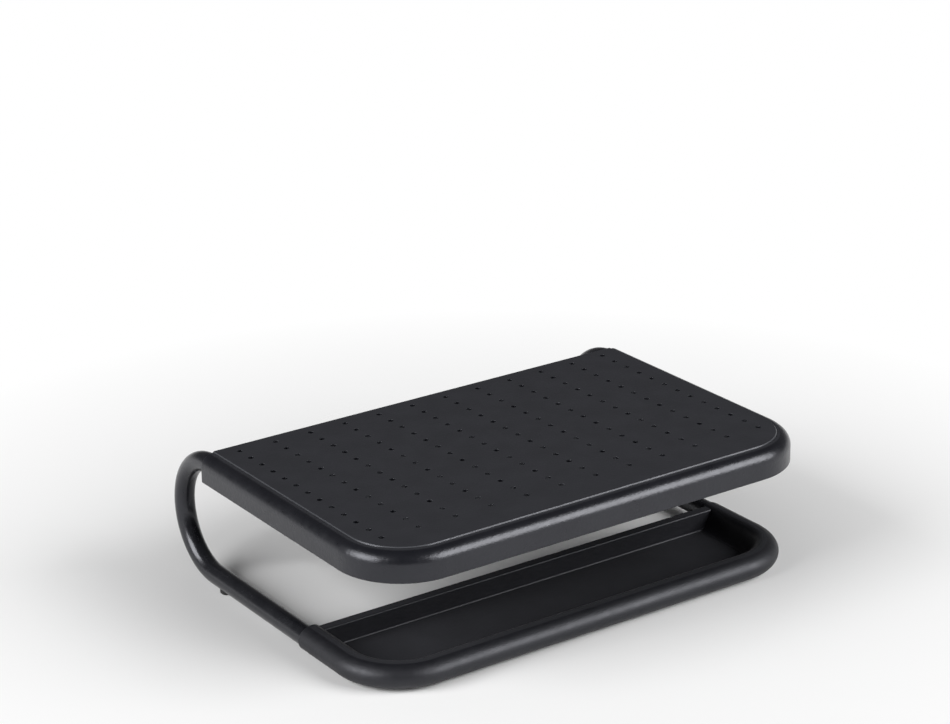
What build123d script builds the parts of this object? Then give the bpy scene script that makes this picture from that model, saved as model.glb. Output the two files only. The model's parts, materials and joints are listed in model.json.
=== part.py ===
from build123d import *
from math import cos, radians, sin, tan
import os

# Monitor stand with a pen tray: a moulded shelf and a moulded tray, each pushed onto the arms of two bent
# steel tubes. Millimetres, +Z up, +X along the width, the front at -Y. The origin is on the desk, under the
# middle of the stand.

# Leg tubes
TUBE_DIAMETER = 15.0
TUBE_WALL = 1.2
BEND_RADIUS = 43.75
BEND_CLEARANCE = 2.25
UPPER_END_MARGIN = 15.0
LOWER_END_MARGIN = 4.0

# Platform shell
SHELF_WIDTH = 380.0
SHELF_DEPTH = 237.0
SHELF_CORNER_RADIUS = 52.0
SHELL_WALL = 1.6
BACK_WALL = 2.5
SKIRT_BELOW_TUBE = 4.2
RIM_FLAT = 0.8
PANEL_RAISE = 0.9
PANEL_CHAMFER = 0.6
SKIRT_CHAMFER = 0.6

# Platform vents and ribs
VENT_DIAMETER = 4.5
VENT_SIDES = 8
VENT_COLUMNS = 12
VENT_ROWS = 13
VENT_SIDE_MARGIN = 16.0
VENT_FRONT_MARGIN = 28.5
VENT_BACK_MARGIN = 11.0
RIB_WALL = 2.0
RIB_HEIGHT = 11.0
COLUMNS_PER_RIB = 2
ROWS_PER_RIB = 3

# Tube sockets under the platform
CHANNEL_WALL = 2.0
CHANNEL_LIFT = 1.0
SADDLE_LENGTH = 22.0
SADDLE_PAD = 0.2
STOP_WALL = 2.5

# Tray
TRAY_SETBACK = 9.0
TRAY_DEPTH = 100.0
TRAY_CORNER_RADIUS = 52.0
TRAY_GROUND_GAP = 1.35
TRAY_FLOOR = 1.8
SLEEVE_WALL = 1.2
SLEEVE_PROUD = 1.0
RIM_CREST_SHIFT = 3.15
RIM_CREST_RISE = 0.45
RIM_BROW_RADIUS = 7.0
RIM_DRAFT = 25.0
RIM_FLOOR_FILLET = 6.0
RIM_CORE_WALL = 2.5
MOUTH_CHAMFER = 0.6
RAIL_WIDTH = 8.0
RAIL_WALL = 2.0
RAIL_DROP = 0.9
RAIL_LIP = 3.0
RAIL_EDGE_RADIUS = 0.9
RAIL_FLOOR_FILLET = 1.0

# Rubber feet
PAD_DIAMETER = 12.0
PAD_RECESS = 0.8
PAD_CHAMFER = 0.3
PAD_SIDE_INSET = 50.0
PAD_FRONT_INSET = 32.0
PAD_BACK_INSET = 20.0
BUTTON_DIAMETER = 9.0
BUTTON_CHAMFER = 1.0
BUTTON_TO_BEND = 13.0
STEM_DIAMETER = 5.6
BARB_DIAMETER = 7.4
BARB_TIP_DIAMETER = 4.6
BARB_HEIGHT = 3.0

# Self-tapping screws
SCREW_DIAMETER = 3.8
SCREW_HEAD_DIAMETER = 7.4
SCREW_HEAD_HEIGHT = 1.5
SCREW_SINK = 0.2
SCREW_LENGTH = 8.0
CROSS_WIDTH = 1.0
CROSS_SPAN = 4.2
CROSS_DEPTH = 0.9

# Clearances
TUBE_FIT = 0.15
PAD_FIT = 0.2
STEM_FIT = 0.1
SEAT_GAP = 0.1
SCREW_FIT = 0.1

# How far a cutting tool runs past what it cuts, and how close two heights count as one
OVERCUT = 1.0
TOUCH = 0.01

# Radii that follow from the tube
TUBE_RADIUS = TUBE_DIAMETER / 2
TUBE_INNER_RADIUS = TUBE_RADIUS - TUBE_WALL
BORE_RADIUS = TUBE_RADIUS + TUBE_FIT
CHANNEL_RADIUS = BORE_RADIUS + SADDLE_PAD
RIM_RADIUS = CHANNEL_RADIUS + SHELL_WALL
SLEEVE_RADIUS = BORE_RADIUS + SLEEVE_WALL
RIM_CORE_RADIUS = SLEEVE_RADIUS - RIM_CORE_WALL

# Heights
LOWER_Z = TRAY_GROUND_GAP + SLEEVE_RADIUS
UPPER_Z = LOWER_Z + 2 * BEND_RADIUS
RIM_TOP = UPPER_Z + RIM_RADIUS
PANEL_TOP = RIM_TOP + PANEL_RAISE
PANEL_UNDERSIDE = RIM_TOP - SHELL_WALL
SKIRT_BOTTOM = UPPER_Z - TUBE_RADIUS - SKIRT_BELOW_TUBE
TRAY_FLOOR_TOP = TRAY_GROUND_GAP + TRAY_FLOOR
RAIL_TOP = LOWER_Z + SLEEVE_RADIUS - RAIL_DROP
BUTTON_TOP = LOWER_Z - TUBE_RADIUS
SCREW_SEAT = SKIRT_BOTTOM + SCREW_SINK + SCREW_HEAD_HEIGHT

# Places across the width
SHELF_HALF = SHELF_WIDTH / 2
TUBE_X = SHELF_HALF - RIM_RADIUS
CHANNEL_INNER_X = TUBE_X - CHANNEL_RADIUS
PANEL_INSET = RIM_RADIUS + RIM_FLAT

# Places along the depth
OVERALL_DEPTH = SHELF_DEPTH + BEND_CLEARANCE + BEND_RADIUS + TUBE_RADIUS
SHELF_FRONT = -OVERALL_DEPTH / 2
SHELF_BACK = SHELF_FRONT + SHELF_DEPTH
BEND_START = SHELF_BACK + BEND_CLEARANCE
UPPER_END = SHELF_FRONT + SHELF_CORNER_RADIUS + UPPER_END_MARGIN
TRAY_FRONT = SHELF_FRONT + TRAY_SETBACK
TRAY_BACK = TRAY_FRONT + TRAY_DEPTH
RIM_AXIS_FRONT = TRAY_FRONT + SLEEVE_RADIUS
RIM_AXIS_CORNER = TRAY_CORNER_RADIUS - SLEEVE_RADIUS
LOWER_END = TRAY_FRONT + TRAY_CORNER_RADIUS + LOWER_END_MARGIN
RAIL_FRONT = TRAY_BACK - RAIL_WIDTH
RAIL_WALL_BACK = RAIL_FRONT + RAIL_WALL
SLEEVE_END = TRAY_BACK + SLEEVE_PROUD
BUTTON_Y = BEND_START - BUTTON_TO_BEND

# The saddles sit at the two ends of the tube's run inside the platform, with a screw through each
SADDLE_MIDDLES = {
    "front": UPPER_END + SADDLE_LENGTH / 2,
    "rear": SHELF_BACK - BACK_WALL - SADDLE_LENGTH / 2,
}
PAD_ROWS = {"front": TRAY_FRONT + PAD_FRONT_INSET, "rear": TRAY_BACK - PAD_BACK_INSET}
SIDES = {"left": -1, "right": 1}

# The vents fill the panel evenly between its margins
VENT_FIRST_X = -(SHELF_HALF - PANEL_INSET - VENT_SIDE_MARGIN)
VENT_FIRST_Y = SHELF_FRONT + PANEL_INSET + VENT_FRONT_MARGIN
VENT_LAST_Y = SHELF_BACK - VENT_BACK_MARGIN
VENT_PITCH_X = -2 * VENT_FIRST_X / (VENT_COLUMNS - 1)
VENT_PITCH_Y = (VENT_LAST_Y - VENT_FIRST_Y) / (VENT_ROWS - 1)


def block(x_span, y_span, z_span):
    """Box given by its limits along each axis."""
    spans = (x_span, y_span, z_span)
    middle = [(low + high) / 2 for low, high in spans]
    size = [high - low for low, high in spans]
    return Pos(*middle) * Box(*size)


def rod(radius, x, y_span, z):
    """Round bar along Y."""
    start, end = y_span
    return extrude(Plane((x, start, z), x_dir=(1, 0, 0), z_dir=(0, 1, 0)) * Circle(radius), end - start)


def post(radius, x, y, z_span):
    """Round bar along Z."""
    low, high = z_span
    return extrude(Pos(x, y, low) * Circle(radius), high - low)


def taper(x, y, z_span, low_radius, high_radius):
    """Cone along Z, with a radius at each end."""
    low, high = z_span
    return Pos(x, y, (low + high) / 2) * Cone(low_radius, high_radius, high - low)


def u_outline(half_width, front, back, corner_radius):
    """Flat outline with two round front corners and two square back corners."""
    plate = Pos(0, (front + back) / 2) * Rectangle(2 * half_width, back - front)
    return fillet(plate.vertices().group_by(Axis.Y)[0], corner_radius)


def prism(outline, bottom, top):
    """Upright solid over an outline."""
    return extrude(Pos(0, 0, bottom) * outline, top - bottom)


def level_edges(solid, level, back=None):
    """Edges of a solid at one height, leaving out what lies along its back where that is given."""
    return [
        edge
        for edge in solid.edges()
        if abs(edge.center().Z - level) < TOUCH and (back is None or edge.center().Y < back - TOUCH)
    ]


def shelf_body(inset, back_inset):
    """Solid shelf with its round rim, drawn in by an inset from the outer skin."""
    back = SHELF_BACK - back_inset
    top = RIM_TOP - inset
    outline = u_outline(SHELF_HALF - inset, SHELF_FRONT + inset, back, SHELF_CORNER_RADIUS - inset)
    body = prism(outline, SKIRT_BOTTOM, top)
    return fillet(level_edges(body, top, back), RIM_RADIUS - inset)


def raised_panel():
    """Flat panel that stands just proud of the rim and runs out at the back edge."""
    outline = u_outline(
        SHELF_HALF - PANEL_INSET,
        SHELF_FRONT + PANEL_INSET,
        SHELF_BACK,
        SHELF_CORNER_RADIUS - PANEL_INSET,
    )
    panel = prism(outline, PANEL_UNDERSIDE, PANEL_TOP)
    return chamfer(level_edges(panel, PANEL_TOP, SHELF_BACK), PANEL_CHAMFER)


def vents():
    """Grid of small holes through the panel."""
    middle_y = (VENT_FIRST_Y + VENT_LAST_Y) / 2
    grid = Pos(0, middle_y) * GridLocations(VENT_PITCH_X, VENT_PITCH_Y, VENT_COLUMNS, VENT_ROWS)
    hole = RegularPolygon(VENT_DIAMETER / 2, VENT_SIDES)
    return prism(Sketch() + grid * hole, PANEL_UNDERSIDE - OVERCUT, PANEL_TOP + OVERCUT)


def ribs():
    """Stiffening ribs under the panel, midway between rows of vents."""
    height = (PANEL_UNDERSIDE - RIB_HEIGHT, RIM_TOP)
    half = RIB_WALL / 2
    lengthwise = []
    for column in range(1, VENT_COLUMNS - 1, COLUMNS_PER_RIB):
        x = VENT_FIRST_X + (column + 0.5) * VENT_PITCH_X
        lengthwise.append(block((x - half, x + half), (SHELF_FRONT, SHELF_BACK), height))
    crosswise = []
    for row in range(1, VENT_ROWS - 1, ROWS_PER_RIB):
        y = VENT_FIRST_Y + (row + 0.5) * VENT_PITCH_Y
        crosswise.append(block((-CHANNEL_INNER_X, CHANNEL_INNER_X), (y - half, y + half), height))
    return lengthwise + crosswise


def tube_channel(side):
    """Inner wall, end stop and saddles that hold one tube under the rim."""
    inner = CHANNEL_INNER_X - CHANNEL_WALL
    across = sorted((side * inner, side * SHELF_HALF))
    wall = sorted((side * inner, side * CHANNEL_INNER_X))
    stop_front = UPPER_END - STOP_WALL
    pieces = [
        block(wall, (stop_front, SHELF_BACK), (SKIRT_BOTTOM + CHANNEL_LIFT, RIM_TOP)),
        block(across, (stop_front, UPPER_END), (SKIRT_BOTTOM + CHANNEL_LIFT, RIM_TOP)),
    ]
    for middle in SADDLE_MIDDLES.values():
        along = (middle - SADDLE_LENGTH / 2, middle + SADDLE_LENGTH / 2)
        pieces.append(block(across, along, (SKIRT_BOTTOM, RIM_TOP)))
    return pieces


def screw_hole(x, y):
    """Counterbored clearance hole up into a saddle."""
    return [
        post(SCREW_HEAD_DIAMETER / 2 + SCREW_FIT, x, y, (SKIRT_BOTTOM - OVERCUT, SCREW_SEAT)),
        post(SCREW_DIAMETER / 2 + SCREW_FIT, x, y, (SKIRT_BOTTOM, UPPER_Z)),
    ]


def platform():
    """Moulded shelf: shell, raised panel, ribs, tube channels and vents."""
    skin = shelf_body(0, 0)
    skin = chamfer(level_edges(skin, SKIRT_BOTTOM), SKIRT_CHAMFER)
    shell = skin + raised_panel() - shelf_body(SHELL_WALL, BACK_WALL)
    framework = Part() + ribs() + tube_channel(-1) + tube_channel(1)
    moulding = shell + (framework & shelf_body(SHELL_WALL / 2, BACK_WALL / 2))
    cuts = [vents()]
    for side in SIDES.values():
        x = side * TUBE_X
        cuts.append(rod(BORE_RADIUS, x, (UPPER_END, SHELF_BACK + OVERCUT), UPPER_Z))
        for y in SADDLE_MIDDLES.values():
            cuts.extend(screw_hole(x, y))
    return moulding - cuts


def leg_tube(side):
    """Steel tube bent through a half turn, with holes for its screws and its foot."""
    x = side * TUBE_X
    upper_arm = Line((x, UPPER_END, UPPER_Z), (x, BEND_START, UPPER_Z))
    bend = ThreePointArc(
        (x, BEND_START, UPPER_Z),
        (x, BEND_START + BEND_RADIUS, UPPER_Z - BEND_RADIUS),
        (x, BEND_START, LOWER_Z),
    )
    lower_arm = Line((x, BEND_START, LOWER_Z), (x, LOWER_END, LOWER_Z))
    start = Plane((x, UPPER_END, UPPER_Z), x_dir=(1, 0, 0), z_dir=(0, 1, 0))
    section = start * (Circle(TUBE_RADIUS) - Circle(TUBE_INNER_RADIUS))
    tube = sweep(section, path=Wire([upper_arm, bend, lower_arm]))
    pilot = SCREW_DIAMETER / 2 + SCREW_FIT
    holes = [post(pilot, x, y, (SKIRT_BOTTOM, UPPER_Z)) for y in SADDLE_MIDDLES.values()]
    holes.append(post(STEM_DIAMETER / 2 + STEM_FIT, x, BUTTON_Y, (0, LOWER_Z)))
    return tube - holes


def rim_section():
    """Section of the tray's rim: a wide hump, with an inner wall that slopes to a fillet at the floor."""
    bottom = -SLEEVE_RADIUS
    floor = bottom + TRAY_FLOOR
    crest_x = -RIM_CREST_SHIFT
    crest_z = SLEEVE_RADIUS + RIM_CREST_RISE
    slope = radians(RIM_DRAFT)
    brow_x = crest_x - RIM_BROW_RADIUS * cos(slope)
    brow_z = crest_z - RIM_BROW_RADIUS * (1 - sin(slope))
    foot_x = brow_x - (brow_z - floor) * tan(slope)
    toe_x = foot_x - RIM_FLOOR_FILLET
    underside = RadiusArc((SLEEVE_RADIUS, 0), (0, bottom), SLEEVE_RADIUS)
    outside = EllipticalCenterArc((crest_x, 0), SLEEVE_RADIUS - crest_x, crest_z, arc_size=90)
    brow = RadiusArc((crest_x, crest_z), (brow_x, brow_z), -RIM_BROW_RADIUS)
    inside = Polyline((0, bottom), (toe_x, bottom), (toe_x, floor), (foot_x, floor), (brow_x, brow_z))
    section = make_face([underside, outside, brow, inside])
    return fillet(section.vertices().sort_by_distance((foot_x, floor, 0))[0], RIM_FLOOR_FILLET)


def rim_path(end):
    """Middle line of the tray's rim, from one side round the front to the other."""
    corners = [(-TUBE_X, end), (-TUBE_X, RIM_AXIS_FRONT), (TUBE_X, RIM_AXIS_FRONT), (TUBE_X, end)]
    return Pos(0, 0, LOWER_Z) * FilletPolyline(*corners, radius=RIM_AXIS_CORNER)


def back_rail():
    """Back wall of the tray with a fillet down to the floor and a flat lip that turns back."""
    lip_bottom = RAIL_TOP - RAIL_LIP
    toe = RAIL_FRONT - RAIL_FLOOR_FILLET
    cove_top = TRAY_FLOOR_TOP + RAIL_FLOOR_FILLET
    cove = RadiusArc((toe, TRAY_FLOOR_TOP), (RAIL_FRONT, cove_top), -RAIL_FLOOR_FILLET)
    outline = Polyline(
        (RAIL_FRONT, cove_top),
        (RAIL_FRONT, RAIL_TOP),
        (TRAY_BACK, RAIL_TOP),
        (TRAY_BACK, lip_bottom),
        (RAIL_WALL_BACK, lip_bottom),
        (RAIL_WALL_BACK, TRAY_GROUND_GAP),
        (toe, TRAY_GROUND_GAP),
        (toe, TRAY_FLOOR_TOP),
    )
    section = make_face([cove, outline])
    section = fillet(section.vertices().group_by(Axis.Y)[-1], RAIL_EDGE_RADIUS)
    return extrude(Plane((-TUBE_X, 0, 0), x_dir=(0, 1, 0), z_dir=(1, 0, 0)) * section, 2 * TUBE_X)


def tray():
    """Moulded pen tray: hollow rim with tube sockets, floor, back rail and recesses for its feet."""
    start = Plane((-TUBE_X, SLEEVE_END, LOWER_Z), x_dir=(-1, 0, 0), z_dir=(0, 1, 0))
    rim = sweep(start * rim_section(), path=rim_path(SLEEVE_END))
    floor_outline = u_outline(TUBE_X, RIM_AXIS_FRONT, RAIL_WALL_BACK, RIM_AXIS_CORNER)
    floor = prism(floor_outline, TRAY_GROUND_GAP, TRAY_FLOOR_TOP)
    core_start = Plane((-TUBE_X, LOWER_END, LOWER_Z), x_dir=(-1, 0, 0), z_dir=(0, 1, 0))
    cuts = [sweep(core_start * Circle(RIM_CORE_RADIUS), path=rim_path(LOWER_END))]
    for side in SIDES.values():
        x = side * TUBE_X
        cuts.append(rod(BORE_RADIUS, x, (LOWER_END, SLEEVE_END + OVERCUT), LOWER_Z))
        mouth = Plane((x, SLEEVE_END - MOUTH_CHAMFER / 2, LOWER_Z), x_dir=(1, 0, 0), z_dir=(0, 1, 0))
        cuts.append(mouth * Cone(BORE_RADIUS, BORE_RADIUS + MOUTH_CHAMFER, MOUTH_CHAMFER))
        for y in PAD_ROWS.values():
            recess = (0, TRAY_GROUND_GAP + PAD_RECESS)
            cuts.append(post(PAD_DIAMETER / 2 + PAD_FIT, side * (TUBE_X - PAD_SIDE_INSET), y, recess))
    return rim + floor + back_rail() - cuts


def tray_pad(side, row):
    """Round rubber pad set into the underside of the tray."""
    x = side * (TUBE_X - PAD_SIDE_INSET)
    pad = post(PAD_DIAMETER / 2, x, PAD_ROWS[row], (0, TRAY_GROUND_GAP + PAD_RECESS))
    return chamfer(level_edges(pad, 0), PAD_CHAMFER)


def tube_foot(side):
    """Rubber button that hugs the tube from below, with a barbed stem through the tube's wall."""
    along = (-BUTTON_DIAMETER, BUTTON_DIAMETER)
    button = post(BUTTON_DIAMETER / 2, 0, 0, (0, LOWER_Z))
    button = chamfer(level_edges(button, 0), BUTTON_CHAMFER)
    button -= rod(TUBE_RADIUS + SEAT_GAP, 0, along, LOWER_Z)
    barb_base = LOWER_Z - TUBE_INNER_RADIUS
    stem = post(STEM_DIAMETER / 2, 0, 0, (BUTTON_TOP / 2, barb_base + BARB_HEIGHT / 2))
    barb = taper(0, 0, (barb_base, barb_base + BARB_HEIGHT), BARB_DIAMETER / 2, BARB_TIP_DIAMETER / 2)
    barb &= rod(TUBE_INNER_RADIUS - SEAT_GAP, 0, along, LOWER_Z)
    return Pos(side * TUBE_X, BUTTON_Y) * (button + stem + barb)


def platform_screw(side, row):
    """Cross-slotted self-tapping screw up through a saddle into the tube's wall."""
    x = side * TUBE_X
    y = SADDLE_MIDDLES[row]
    head_face = SCREW_SEAT - SCREW_HEAD_HEIGHT
    head = post(SCREW_HEAD_DIAMETER / 2, x, y, (head_face, SCREW_SEAT))
    shank = post(SCREW_DIAMETER / 2, x, y, (SCREW_SEAT, SCREW_SEAT + SCREW_LENGTH))
    cross = []
    for long_x, long_y in ((CROSS_SPAN, CROSS_WIDTH), (CROSS_WIDTH, CROSS_SPAN)):
        x_span = (x - long_x / 2, x + long_x / 2)
        y_span = (y - long_y / 2, y + long_y / 2)
        cross.append(block(x_span, y_span, (head_face - OVERCUT, head_face + CROSS_DEPTH)))
    return head + shank - cross


pieces = {"platform": platform(), "tray": tray()}
for side_name, side in SIDES.items():
    pieces[f"{side_name}_leg_tube"] = leg_tube(side)
    pieces[f"{side_name}_tube_foot"] = tube_foot(side)
    for row in ("front", "rear"):
        pieces[f"tray_foot_{row}_{side_name}"] = tray_pad(side, row)
        pieces[f"platform_screw_{side_name}_{row}"] = platform_screw(side, row)

os.makedirs("parts", exist_ok=True)
for name, shape in pieces.items():
    export_step(shape, f"parts/{name}.step")
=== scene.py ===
import json
from math import cos, radians, sin

import bpy
from mathutils import Matrix, Quaternion, Vector


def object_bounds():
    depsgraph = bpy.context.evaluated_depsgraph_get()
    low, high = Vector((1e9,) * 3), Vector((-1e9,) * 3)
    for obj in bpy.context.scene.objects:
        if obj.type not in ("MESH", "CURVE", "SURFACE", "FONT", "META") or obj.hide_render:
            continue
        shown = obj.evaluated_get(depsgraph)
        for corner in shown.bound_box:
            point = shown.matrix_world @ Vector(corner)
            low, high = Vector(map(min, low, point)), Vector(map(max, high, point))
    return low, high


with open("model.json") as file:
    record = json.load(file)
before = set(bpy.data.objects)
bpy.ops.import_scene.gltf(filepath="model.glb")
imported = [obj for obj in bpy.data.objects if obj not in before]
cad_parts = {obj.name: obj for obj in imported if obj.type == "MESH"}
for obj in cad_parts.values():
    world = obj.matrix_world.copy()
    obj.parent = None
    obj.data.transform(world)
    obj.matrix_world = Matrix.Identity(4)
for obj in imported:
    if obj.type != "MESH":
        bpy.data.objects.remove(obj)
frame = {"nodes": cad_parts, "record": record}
cad_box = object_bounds()

# Camera of the photograph: places in metres, angles in degrees, sensor and lens in millimetres
CAMERA_TARGET = Vector((0.0, 0.01895, 0.1581))
CAMERA_AZIMUTH = -34.48
CAMERA_ELEVATION = 20.54
CAMERA_ROLL = -0.84
CAMERA_DISTANCE = 1.9269
CAMERA_SENSOR = 36.0
CAMERA_LENS = 100.4

# Floor, in metres, which turns from painted to plain white between two distances from the stand's middle
FLOOR_SIZE = 30.0
FLOOR_DROP = 0.0003
FLOOR_WHITE_SPAN = (0.22, 0.58)
FLOOR_COLOUR = (0.86, 0.86, 0.86, 1.0)
FLOOR_ROUGHNESS = 0.9
FLOOR_SPECULAR = 0.1

# Surroundings, pale along the horizon and dimmer above
HORIZON_LEVEL = 0.6
UPPER_LEVEL = 0.08
HORIZON_BLEND = sin(radians(12.0))
SURROUND_COLOUR = (1.0, 1.0, 1.0, 1.0)

# Softboxes, in metres and watts, and where each stands, in degrees from the front towards +X and upwards
STAGE_MIDDLE = Vector((0.0, 0.0, 0.06))
SOFTBOX_DISTANCE = 4.0
SOFTBOX_SIZE = (2.75, 2.4)
SOFTBOX_POWER = 175.0
SOFTBOXES = {"left_softbox": (-97.0, 28.5), "right_softbox": (36.0, 29.0)}

# Depths under the platform's top, in metres, above which its flat panel and the panel's bevelled edge lie
PANEL_DEPTH = 0.00025
PANEL_EDGE_DEPTH = 0.0008

# Height, in metres, over which the mask of a depth rises from zero to one
DEPTH_BLEND = 0.0002

# Upward part of the normal: its limits on the panel's bevelled edge, and where a slope becomes a top
PANEL_EDGE_STEEPEST = 0.4
PANEL_EDGE_FLATTEST = 0.95
TOP_SPAN = (0.97, 0.995)

# Sharp edges: the cosines between plain and rounded normal at which an edge starts and is full
EDGE_SPAN = (0.995, 0.85)
BEVEL_SAMPLES = 6

# Spans of values, most of them of noise, that are stretched to others
FULL_SPAN = (0.0, 1.0)
NARROW_SPAN = (0.35, 0.65)
WIDE_SPAN = (0.3, 0.7)
UPPER_SPAN = (0.4, 0.7)

# Noise patterns: cycles per metre, and how many finer layers they have
PLASTIC_MOTTLE = (45.0, 3.0)
PLASTIC_CLOUDS = (160.0, 4.0)
PLASTIC_PEBBLES = (380.0, 2.0)
PLASTIC_GRAIN = (1100.0, 2.0)
PANEL_STIPPLE = (520.0, 1.0)
COAT_MOTTLE = (60.0, 3.0)
COAT_CLOUDS = (240.0, 3.0)
COAT_PEEL = (420.0, 1.5)
RUBBER_BLOOM = (180.0, 4.0)
RUBBER_PORES = (1600.0, 2.0)
ZINC_MOTTLE = (500.0, 3.0)
ZINC_CLOUDS = (2400.0, 4.0)
ZINC_SCUFFS = (3200.0, 3.0)

# Relief of the finishes: strength, depth in metres, and the radius in metres that rounds their edges
PLASTIC_RELIEF = (0.28, 0.0002, 0.0004)
COAT_RELIEF = (0.12, 0.0001, 0.0003)
RUBBER_RELIEF = (0.35, 0.0001, 0.0005)
ZINC_RELIEF = (0.15, 0.0001, 0.0002)

# Darkest and palest colour of each finish, the tray's darkened as painted shade, then a painted highlight
PLATFORM_COLOURS = ((0.0054, 0.0056, 0.0080), (0.0082, 0.0085, 0.0114))
# The tray's colours are darker than the platform's as painted shade from the shelf above it
TRAY_SHADED_COLOURS = ((0.0042, 0.0044, 0.0062), (0.0064, 0.0066, 0.0088))
COAT_COLOURS = ((0.0076, 0.0079, 0.0102), (0.0114, 0.0118, 0.0144))
RUBBER_COLOURS = ((0.010, 0.010, 0.011), (0.028, 0.027, 0.027))
ZINC_COLOURS = ((0.40, 0.40, 0.41), (0.56, 0.56, 0.57))
# Painted highlight: a pale colour on the bevel round the flat panel, for the bright line where its edge
# catches the light
PANEL_EDGE_HIGHLIGHT_COLOUR = (0.058, 0.060, 0.067)

# Least and greatest roughness of each finish
PLATFORM_ROUGHNESS = (0.27, 0.34)
TRAY_ROUGHNESS = (0.45, 0.53)
COAT_ROUGHNESS = (0.22, 0.28)
RUBBER_ROUGHNESS = (0.66, 0.82)
ZINC_ROUGHNESS = (0.26, 0.44)

# Rubbed edges: their colour, how much of it shows, their width in metres, and how much smoother they are
RUBBED_PLASTIC = (0.036, 0.038, 0.043)
RUBBED_COAT = (0.06, 0.06, 0.063)
PLATFORM_WEAR = 0.4
TRAY_WEAR = 0.12
COAT_WEAR = 0.6
PLASTIC_RUB_WIDTH = 0.0009
COAT_RUB_WIDTH = 0.0006
PLASTIC_RUB_SMOOTHING = 0.05

# How much rougher the level tops of the mouldings are than their sides
TOP_ROUGHENING = 0.6

# How much of a coarser, pebbled grain lies under the fine grain of the mouldings
PEBBLE_SHARE = 2.5

# How black plastic and paint mirror, and the tint that they give to what they mirror
PLASTIC_IOR = 1.53
COAT_IOR = 1.56
COOL_TINT = (0.92, 0.93, 1.0, 1.0)

# Places of the colour sockets on a mix node, whose names stand for other kinds of value too
MIX_FIRST_COLOUR = 6
MIX_SECOND_COLOUR = 7
MIX_RESULT_COLOUR = 2


def link(owner, source, target):
    """Join an output socket to an input socket, in a material or a world."""
    owner.node_tree.links.new(source, target)


def feed(owner, target, value):
    """Give an input socket a number or a colour, or link it to an output socket."""
    if isinstance(value, bpy.types.NodeSocket):
        link(owner, value, target)
    elif isinstance(value, tuple):
        target.default_value = (*value, 1.0)
    else:
        target.default_value = value


def new_material(name):
    """Node material with a Principled shader, and that shader."""
    material = bpy.data.materials.new(name)
    material.use_nodes = True
    return material, material.node_tree.nodes["Principled BSDF"]


def coordinates(owner, kind):
    """Coordinates of a kind, such as the object's own."""
    return owner.node_tree.nodes.new("ShaderNodeTexCoord").outputs[kind]


def surface_normal(owner, kind):
    """Normal of the surface, shaded or true."""
    return owner.node_tree.nodes.new("ShaderNodeNewGeometry").outputs[kind]


def upward_part(owner, vector):
    """Z component of a vector."""
    split = owner.node_tree.nodes.new("ShaderNodeSeparateXYZ")
    link(owner, vector, split.inputs["Vector"])
    return split.outputs["Z"]


def noise(owner, pattern):
    """Noise pattern over the object's own coordinates."""
    scale, detail = pattern
    texture = owner.node_tree.nodes.new("ShaderNodeTexNoise")
    texture.inputs["Scale"].default_value = scale
    texture.inputs["Detail"].default_value = detail
    link(owner, coordinates(owner, "Object"), texture.inputs["Vector"])
    return texture.outputs["Fac"]


def spread(owner, value, span, new_span=FULL_SPAN):
    """Stretch a span of values to another span."""
    ranger = owner.node_tree.nodes.new("ShaderNodeMapRange")
    limits = zip(("From Min", "From Max", "To Min", "To Max"), (*span, *new_span))
    for socket, limit in limits:
        ranger.inputs[socket].default_value = limit
    link(owner, value, ranger.inputs["Value"])
    return ranger.outputs["Result"]


def blend_colour(owner, factor, first, second):
    """Colour between two others, each a colour or an output socket."""
    mixer = owner.node_tree.nodes.new("ShaderNodeMix")
    mixer.data_type = "RGBA"
    link(owner, factor, mixer.inputs["Factor"])
    feed(owner, mixer.inputs[MIX_FIRST_COLOUR], first)
    feed(owner, mixer.inputs[MIX_SECOND_COLOUR], second)
    return mixer.outputs[MIX_RESULT_COLOUR]


def combine(owner, operation, first, second):
    """Arithmetic on two values, each a number or an output socket."""
    step = owner.node_tree.nodes.new("ShaderNodeMath")
    step.operation = operation
    for socket, value in zip(step.inputs, (first, second)):
        feed(owner, socket, value)
    return step.outputs["Value"]


def edge_normal(material, radius):
    """Normal that rounds the sharp edges over a small radius."""
    bevel = material.node_tree.nodes.new("ShaderNodeBevel")
    bevel.samples = BEVEL_SAMPLES
    bevel.inputs["Radius"].default_value = radius
    return bevel.outputs["Normal"]


def edge_mask(material, radius):
    """Zero on flat and gently curved surfaces, rising to one on sharp edges."""
    compare = material.node_tree.nodes.new("ShaderNodeVectorMath")
    compare.operation = "DOT_PRODUCT"
    link(material, edge_normal(material, radius), compare.inputs[0])
    link(material, surface_normal(material, "Normal"), compare.inputs[1])
    return spread(material, compare.outputs["Value"], EDGE_SPAN)


def depth_mask(material, depth):
    """One near the platform's top and zero below a depth under it."""
    highest_corner = cad_box[1]
    level = highest_corner[2] - depth
    height = upward_part(material, coordinates(material, "Object"))
    return spread(material, height, (level, level + DEPTH_BLEND))


def panel_edge_highlight_mask(material):
    """One on the narrow bevel round the flat panel, which gets a painted highlight, and zero elsewhere."""
    upward = upward_part(material, surface_normal(material, "True Normal"))
    below_flat = combine(material, "LESS_THAN", upward, PANEL_EDGE_FLATTEST)
    above_steep = combine(material, "GREATER_THAN", upward, PANEL_EDGE_STEEPEST)
    sloped = combine(material, "MULTIPLY", below_flat, above_steep)
    return combine(material, "MULTIPLY", sloped, depth_mask(material, PANEL_EDGE_DEPTH))


def top_mask(material):
    """One on level surfaces that face up, and zero on slopes."""
    upward = upward_part(material, surface_normal(material, "Normal"))
    return spread(material, upward, TOP_SPAN)


def add_relief(material, shader, height, relief):
    """Tilt the shader's normal by a height map, and round its sharp edges."""
    strength, depth, edge_radius = relief
    bump = material.node_tree.nodes.new("ShaderNodeBump")
    bump.inputs["Strength"].default_value = strength
    bump.inputs["Distance"].default_value = depth
    link(material, height, bump.inputs["Height"])
    link(material, edge_normal(material, edge_radius), bump.inputs["Normal"])
    link(material, bump.outputs["Normal"], shader.inputs["Normal"])


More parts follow.
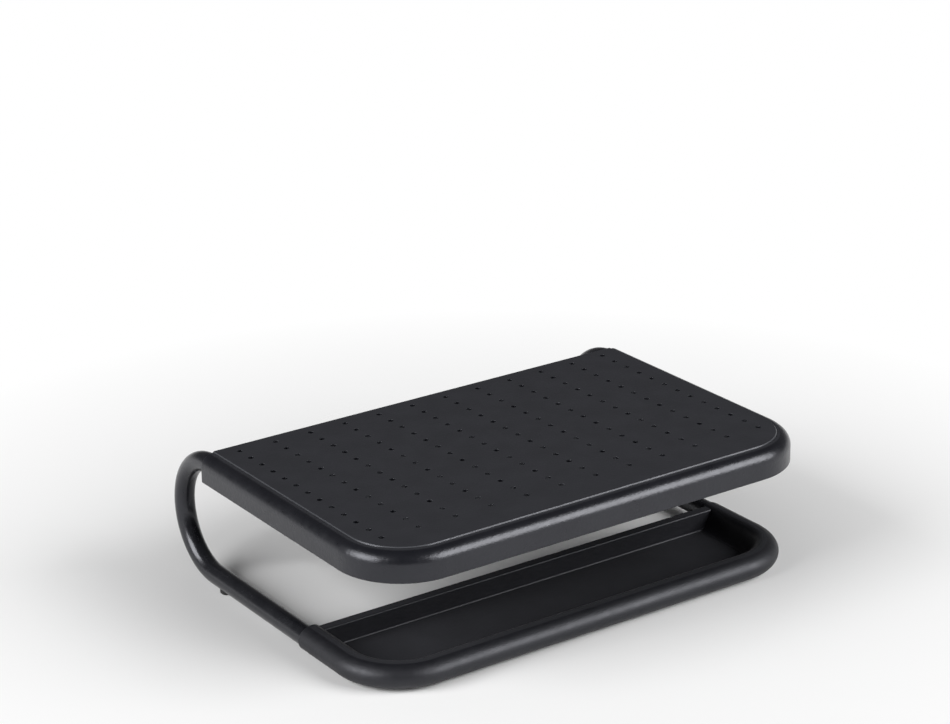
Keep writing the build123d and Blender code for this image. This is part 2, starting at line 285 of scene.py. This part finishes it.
def moulded_plastic(name, colours, roughness_span, wear, panel=False):
    """Black moulded plastic: satin, matt on its level tops, with soft mottling, grain, rubbed edges and a
    painted highlight on the panel's bevelled edge.
    """
    material, shader = new_material(name)
    rubbed = edge_mask(material, PLASTIC_RUB_WIDTH)
    mottle = spread(material, noise(material, PLASTIC_MOTTLE), NARROW_SPAN)
    colour = blend_colour(material, mottle, *colours)
    worn = combine(material, "MULTIPLY", rubbed, wear)
    colour = blend_colour(material, worn, colour, RUBBED_PLASTIC)
    clouds = spread(material, noise(material, PLASTIC_CLOUDS), WIDE_SPAN, roughness_span)
    smoothing = combine(material, "MULTIPLY", rubbed, PLASTIC_RUB_SMOOTHING)
    roughness = combine(material, "SUBTRACT", clouds, smoothing)
    roughening = combine(material, "MULTIPLY", top_mask(material), TOP_ROUGHENING)
    roughness = combine(material, "ADD", roughness, roughening)
    pebbles = combine(material, "MULTIPLY", noise(material, PLASTIC_PEBBLES), PEBBLE_SHARE)
    grain = combine(material, "ADD", noise(material, PLASTIC_GRAIN), pebbles)
    if panel:
        # Painted highlight: a pale colour along the bevel round the flat panel
        colour = blend_colour(material, panel_edge_highlight_mask(material), colour, PANEL_EDGE_HIGHLIGHT_COLOUR)
        flat = depth_mask(material, PANEL_DEPTH)
        stipple = combine(material, "MULTIPLY", noise(material, PANEL_STIPPLE), flat)
        grain = combine(material, "ADD", grain, stipple)
    link(material, colour, shader.inputs["Base Color"])
    link(material, roughness, shader.inputs["Roughness"])
    shader.inputs["IOR"].default_value = PLASTIC_IOR
    shader.inputs["Specular Tint"].default_value = COOL_TINT
    add_relief(material, shader, grain, PLASTIC_RELIEF)
    return material


def tube_coating(name):
    """Satin black powder coat on steel, with slight orange peel and rubbed edges."""
    material, shader = new_material(name)
    rubbed = edge_mask(material, COAT_RUB_WIDTH)
    mottle = spread(material, noise(material, COAT_MOTTLE), NARROW_SPAN)
    colour = blend_colour(material, mottle, *COAT_COLOURS)
    worn = combine(material, "MULTIPLY", rubbed, COAT_WEAR)
    colour = blend_colour(material, worn, colour, RUBBED_COAT)
    roughness = spread(material, noise(material, COAT_CLOUDS), WIDE_SPAN, COAT_ROUGHNESS)
    link(material, colour, shader.inputs["Base Color"])
    link(material, roughness, shader.inputs["Roughness"])
    shader.inputs["IOR"].default_value = COAT_IOR
    shader.inputs["Specular Tint"].default_value = COOL_TINT
    add_relief(material, shader, noise(material, COAT_PEEL), COAT_RELIEF)
    return material


def rubber(name):
    """Matt black rubber with a dusty bloom."""
    material, shader = new_material(name)
    bloom = spread(material, noise(material, RUBBER_BLOOM), UPPER_SPAN)
    colour = blend_colour(material, bloom, *RUBBER_COLOURS)
    roughness = spread(material, bloom, FULL_SPAN, RUBBER_ROUGHNESS)
    link(material, colour, shader.inputs["Base Color"])
    link(material, roughness, shader.inputs["Roughness"])
    add_relief(material, shader, noise(material, RUBBER_PORES), RUBBER_RELIEF)
    return material


def zinc_steel(name):
    """Zinc-plated steel with fine scuffs."""
    material, shader = new_material(name)
    mottle = spread(material, noise(material, ZINC_MOTTLE), WIDE_SPAN)
    colour = blend_colour(material, mottle, *ZINC_COLOURS)
    roughness = spread(material, noise(material, ZINC_CLOUDS), WIDE_SPAN, ZINC_ROUGHNESS)
    link(material, colour, shader.inputs["Base Color"])
    link(material, roughness, shader.inputs["Roughness"])
    shader.inputs["Metallic"].default_value = 1.0
    add_relief(material, shader, noise(material, ZINC_SCUFFS), ZINC_RELIEF)
    return material


def pale_floor():
    """Pale floor that takes shadows near the stand and is plain white to the eye further out."""
    material, shader = new_material("floor_paint")
    shader.inputs["Base Color"].default_value = FLOOR_COLOUR
    shader.inputs["Roughness"].default_value = FLOOR_ROUGHNESS
    shader.inputs["Specular IOR Level"].default_value = FLOOR_SPECULAR
    nodes = material.node_tree.nodes
    reach = nodes.new("ShaderNodeVectorMath")
    reach.operation = "LENGTH"
    link(material, coordinates(material, "Object"), reach.inputs[0])
    away = spread(material, reach.outputs["Value"], FLOOR_WHITE_SPAN)
    ray = nodes.new("ShaderNodeLightPath")
    seen = combine(material, "MAXIMUM", ray.outputs["Is Camera Ray"], ray.outputs["Is Glossy Ray"])
    seen = combine(material, "MAXIMUM", seen, ray.outputs["Is Transmission Ray"])
    white = nodes.new("ShaderNodeEmission")
    mixer = nodes.new("ShaderNodeMixShader")
    share, near, far = mixer.inputs
    link(material, combine(material, "MULTIPLY", away, seen), share)
    link(material, shader.outputs["BSDF"], near)
    link(material, white.outputs["Emission"], far)
    link(material, mixer.outputs["Shader"], nodes["Material Output"].inputs["Surface"])
    return material


def add_floor():
    """Floor just under the feet."""
    mesh = bpy.data.meshes.new("floor")
    half = FLOOR_SIZE / 2
    corners = [(-half, -half, 0), (half, -half, 0), (half, half, 0), (-half, half, 0)]
    mesh.from_pydata(corners, [], [(0, 1, 2, 3)])
    floor = bpy.data.objects.new("floor", mesh)
    floor.location.z = -FLOOR_DROP
    mesh.materials.append(pale_floor())
    bpy.context.scene.collection.objects.link(floor)


def add_softbox(name, azimuth, elevation):
    """Rectangular soft light that faces the stand."""
    light = bpy.data.lights.new(name, "AREA")
    light.shape = "RECTANGLE"
    light.size, light.size_y = SOFTBOX_SIZE
    light.energy = SOFTBOX_POWER
    around, above = radians(azimuth), radians(elevation)
    outward = Vector((cos(above) * sin(around), -cos(above) * cos(around), sin(above)))
    box = bpy.data.objects.new(name, light)
    box.location = STAGE_MIDDLE + outward * SOFTBOX_DISTANCE
    box.rotation_mode = "QUATERNION"
    box.rotation_quaternion = (-outward).to_track_quat("-Z", "Y")
    box.visible_camera = False
    bpy.context.scene.collection.objects.link(box)


def add_camera():
    """Camera at the photograph's viewing angle."""
    turn = Matrix.Rotation(radians(CAMERA_AZIMUTH), 3, "Z")
    tilt = Matrix.Rotation(radians(-CAMERA_ELEVATION), 3, "X")
    outward = turn @ tilt @ Vector((0, -1, 0))
    data = bpy.data.cameras.new("camera")
    data.sensor_width = CAMERA_SENSOR
    data.lens = CAMERA_LENS
    camera = bpy.data.objects.new("camera", data)
    camera.location = CAMERA_TARGET + outward * CAMERA_DISTANCE
    camera.rotation_mode = "QUATERNION"
    level = (-outward).to_track_quat("-Z", "Y")
    camera.rotation_quaternion = level @ Quaternion((0, 0, 1), radians(CAMERA_ROLL))
    bpy.context.scene.collection.objects.link(camera)
    bpy.context.scene.camera = camera


def light_stage():
    """Studio surroundings, with a softbox at the left and one in front at the right."""
    world = bpy.data.worlds.new("studio")
    world.use_nodes = True
    upward = upward_part(world, coordinates(world, "Generated"))
    level = spread(world, upward, (0.0, HORIZON_BLEND), (HORIZON_LEVEL, UPPER_LEVEL))
    surround = world.node_tree.nodes["Background"]
    surround.inputs["Color"].default_value = SURROUND_COLOUR
    link(world, level, surround.inputs["Strength"])
    bpy.context.scene.world = world
    for name, (azimuth, elevation) in SOFTBOXES.items():
        add_softbox(name, azimuth, elevation)


finishes = {
    "platform_plastic": moulded_plastic(
        "platform_black", PLATFORM_COLOURS, PLATFORM_ROUGHNESS, PLATFORM_WEAR, panel=True
    ),
    # The tray's colours are darkened as painted shade from the shelf above it
    "tray_plastic": moulded_plastic("tray_black_shaded", TRAY_SHADED_COLOURS, TRAY_ROUGHNESS, TRAY_WEAR),
    "tube_coat": tube_coating("tube_black"),
    "rubber": rubber("foot_rubber"),
    "screw_steel": zinc_steel("screw_zinc"),
}
for subpart in frame["record"]["subparts"]:
    node = frame["nodes"][subpart["node"]]
    node.data.materials.clear()
    node.data.materials.append(finishes[subpart["material_slot"]])

add_floor()
add_camera()
light_stage()
bpy.context.scene.view_settings.view_transform = "Standard"
